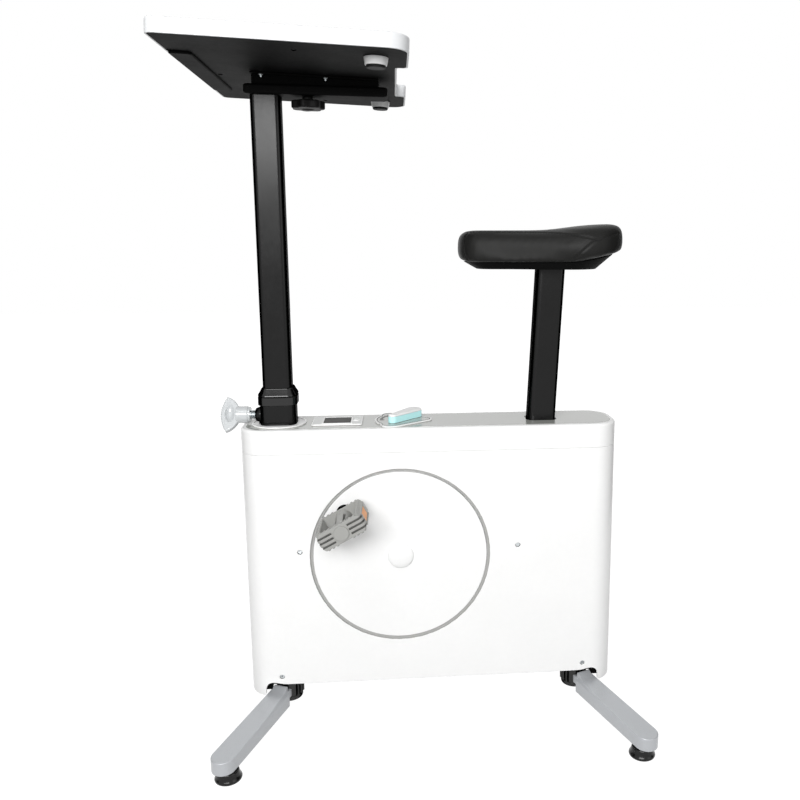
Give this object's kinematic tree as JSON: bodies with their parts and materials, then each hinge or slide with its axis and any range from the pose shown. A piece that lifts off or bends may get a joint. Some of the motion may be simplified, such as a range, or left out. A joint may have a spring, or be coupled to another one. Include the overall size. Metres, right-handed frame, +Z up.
{
  "type": "folding exercise bike",
  "caption": "Slim desk bike with fold-in legs, telescoping saddle and desk posts, belt-driven flywheel and a resistance dial.",
  "frame": {"origin": "on the floor, at the centre of the whole bike's bounding box in plan", "axes": "+X points from the desk to the saddle, +Y to the far side with the saddle post's knob, +Z up"},
  "size_m": [0.7607, 0.534, 1.1612],
  "materials": {
    "white_plastic": "white, smooth semi-gloss moulding",
    "panel_gloss": "pale grey, high gloss",
    "black_steel": "black gloss enamel",
    "black_plastic": "black, fine-grained",
    "silver_paint": "silver metallic satin paint",
    "grey_plastic": "light grey satin",
    "pedal_plastic": "mid grey, moulded",
    "turquoise_plastic": "turquoise semi-gloss",
    "zinc_steel": "zinc-plated pressed steel",
    "bare_steel": "ground steel",
    "flywheel_iron": "turned and blackened",
    "black_rubber": "matt black",
    "saddle_vinyl": "black grained vinyl over foam",
    "display_lens": "dark clear window, switched off"
  },
  "bodies": {
    "chassis": {"base_frame": "black_steel", "table_post_sleeve": "black_steel", "seat_post_sleeve": "black_steel", "post_collar": "black_plastic", "seat_post_bush": "black_plastic", "crank_housing": "black_steel", "flywheel_bracket": "black_steel", "crank_bearing": "bare_steel", "drive_belt": "black_rubber", "tension_cable": "black_rubber", "shell_near": "white_plastic", "shell_far": "white_plastic", "top_cover": "white_plastic", "top_panel": "panel_gloss", "display_bezel": "grey_plastic", "display_lens": "display_lens", "dial_plate": "grey_plastic", "leg_pin_front_near": "black_plastic", "leg_pin_front_far": "black_plastic", "leg_pin_rear_near": "black_plastic", "leg_pin_rear_far": "black_plastic"},
    "desk_post": {"table_post": "black_steel", "table_rail": "black_steel"},
    "desk": {"table_bracket": "zinc_steel", "table_underside": "black_plastic", "table_top": "white_plastic", "table_bumper_near": "grey_plastic", "table_bumper_far": "grey_plastic"},
    "desk_knob": {"table_knob": "black_plastic"},
    "desk_post_knob": {"post_knob": "grey_plastic"},
    "saddle_post": {"seat_post": "black_steel", "seat_pan": "black_plastic", "seat_cushion": "saddle_vinyl"},
    "saddle_post_knob": {"seat_knob": "grey_plastic"},
    "crank": {"crank_axle": "bare_steel", "drive_pulley": "black_plastic", "crank_arm_near": "black_steel", "crank_arm_far": "black_steel", "crank_disc_near": "white_plastic", "crank_disc_far": "white_plastic", "hub_cap_near": "white_plastic", "hub_cap_far": "white_plastic", "pedal_spindle_near": "bare_steel", "pedal_spindle_far": "bare_steel"},
    "pedal_near": {"pedal_body_near": "pedal_plastic"},
    "pedal_far": {"pedal_body_far": "pedal_plastic"},
    "flywheel_unit": {"flywheel": "flywheel_iron", "flywheel_shaft": "bare_steel"},
    "magnet": {"magnet_bracket": "zinc_steel"},
    "resistance_dial": {"dial_lever": "turquoise_plastic", "dial_cap": "grey_plastic"},
    "button": {"display_button": "grey_plastic"},
    "front_near_leg": {"leg_front_near": "silver_paint"},
    "front_far_leg": {"leg_front_far": "silver_paint"},
    "rear_near_leg": {"leg_rear_near": "silver_paint"},
    "rear_far_leg": {"leg_rear_far": "silver_paint"},
    "front_near_foot": {"foot_front_near": "black_rubber"},
    "front_far_foot": {"foot_front_far": "black_rubber"},
    "rear_near_foot": {"foot_rear_near": "black_rubber"},
    "rear_far_foot": {"foot_rear_far": "black_rubber"}
  },
  "joints": [
    {"name": "desk_height", "type": "slide", "parent": "chassis", "child": "desk_post", "axis": [0, 0, 1], "range_m": [-0.3, 0.04]},
    {"name": "desk_reach", "type": "slide", "parent": "desk_post", "child": "desk", "axis": [0.9999, 0, -0.0172], "range_m": [-0.1, 0]},
    {"name": "desk_knob_turn", "type": "hinge", "parent": "desk_post", "child": "desk_knob", "pos_m": [-0.18951, 0, 1.10025], "axis": [0.0172, 0, 0.9999], "range_deg": [0, 720]},
    {"name": "desk_post_knob_turn", "type": "hinge", "parent": "chassis", "child": "desk_post_knob", "pos_m": [-0.28381, 0, 0.559], "axis": [1, 0, 0], "range_deg": [0, 720]},
    {"name": "saddle_height", "type": "slide", "parent": "chassis", "child": "saddle_post", "axis": [0.0503, 0, 0.9987], "range_m": [-0.22, 0.04]},
    {"name": "saddle_post_knob_turn", "type": "hinge", "parent": "chassis", "child": "saddle_post_knob", "pos_m": [0.21081, 0.0203, 0.51491], "axis": [0, 1, 0], "range_deg": [0, 720]},
    {"name": "crank_turn", "type": "hinge", "parent": "chassis", "child": "crank", "pos_m": [-0.04701, 0, 0.309], "axis": [0, 1, 0], "continuous": true},
    {"name": "pedal_near_turn", "type": "hinge", "parent": "crank", "child": "pedal_near", "pos_m": [-0.14372, -0.1, 0.39131], "axis": [0, 1, 0], "continuous": true},
    {"name": "pedal_far_turn", "type": "hinge", "parent": "crank", "child": "pedal_far", "pos_m": [0.04971, 0.1, 0.22669], "axis": [0, 1, 0], "continuous": true},
    {"name": "flywheel_turn", "type": "hinge", "parent": "chassis", "child": "flywheel_unit", "pos_m": [0.07349, 0.031, 0.195], "axis": [0, 1, 0], "continuous": true},
    {"name": "dial_turn", "type": "hinge", "parent": "chassis", "child": "resistance_dial", "pos_m": [-0.03651, 0, 0.55], "axis": [0, 0, 1], "range_deg": [0, 150]},
    {"name": "magnet_swing", "type": "hinge", "parent": "chassis", "child": "magnet", "pos_m": [0.02949, 0.031, 0.306], "axis": [0, -1, 0], "range_deg": [0, 6.9]},
    {"name": "button_press", "type": "slide", "parent": "chassis", "child": "button", "axis": [0, 0, -1], "range_m": [0, 0.0012], "stiffness_N_per_m": 200},
    {"name": "leg_front_near_fold", "type": "hinge", "parent": "chassis", "child": "front_near_leg", "pos_m": [-0.25651, -0.024, 0.05], "axis": [0, 0, 1], "range_deg": [0, 111.7]},
    {"name": "leg_front_far_fold", "type": "hinge", "parent": "chassis", "child": "front_far_leg", "pos_m": [-0.25651, 0.024, 0.05], "axis": [0, 0, -1], "range_deg": [0, 111.7]},
    {"name": "leg_rear_near_fold", "type": "hinge", "parent": "chassis", "child": "rear_near_leg", "pos_m": [0.27949, -0.024, 0.05], "axis": [0, 0, -1], "range_deg": [0, 111.7]},
    {"name": "leg_rear_far_fold", "type": "hinge", "parent": "chassis", "child": "rear_far_leg", "pos_m": [0.27949, 0.024, 0.05], "axis": [0, 0, 1], "range_deg": [0, 111.7]},
    {"name": "foot_front_near_turn", "type": "hinge", "parent": "front_near_leg", "child": "front_near_foot", "pos_m": [-0.33342, -0.21726, 0.01], "axis": [0, 0, 1], "range_deg": [-360, 360]},
    {"name": "foot_front_far_turn", "type": "hinge", "parent": "front_far_leg", "child": "front_far_foot", "pos_m": [-0.33342, 0.21726, 0.01], "axis": [0, 0, 1], "range_deg": [-360, 360]},
    {"name": "foot_rear_near_turn", "type": "hinge", "parent": "rear_near_leg", "child": "rear_near_foot", "pos_m": [0.3564, -0.21726, 0.01], "axis": [0, 0, 1], "range_deg": [-360, 360]},
    {"name": "foot_rear_far_turn", "type": "hinge", "parent": "rear_far_leg", "child": "rear_far_foot", "pos_m": [0.3564, 0.21726, 0.01], "axis": [0, 0, 1], "range_deg": [-360, 360]}
  ],
  "couplings": [
    {"joint": "flywheel_turn", "follows": "crank_turn", "ratio": 5},
    {"joint": "magnet_swing", "follows": "dial_turn", "ratio": 0.0458},
    {"joint": "leg_front_far_fold", "follows": "leg_front_near_fold", "ratio": 1},
    {"joint": "leg_rear_far_fold", "follows": "leg_rear_near_fold", "ratio": 1}
  ]
}
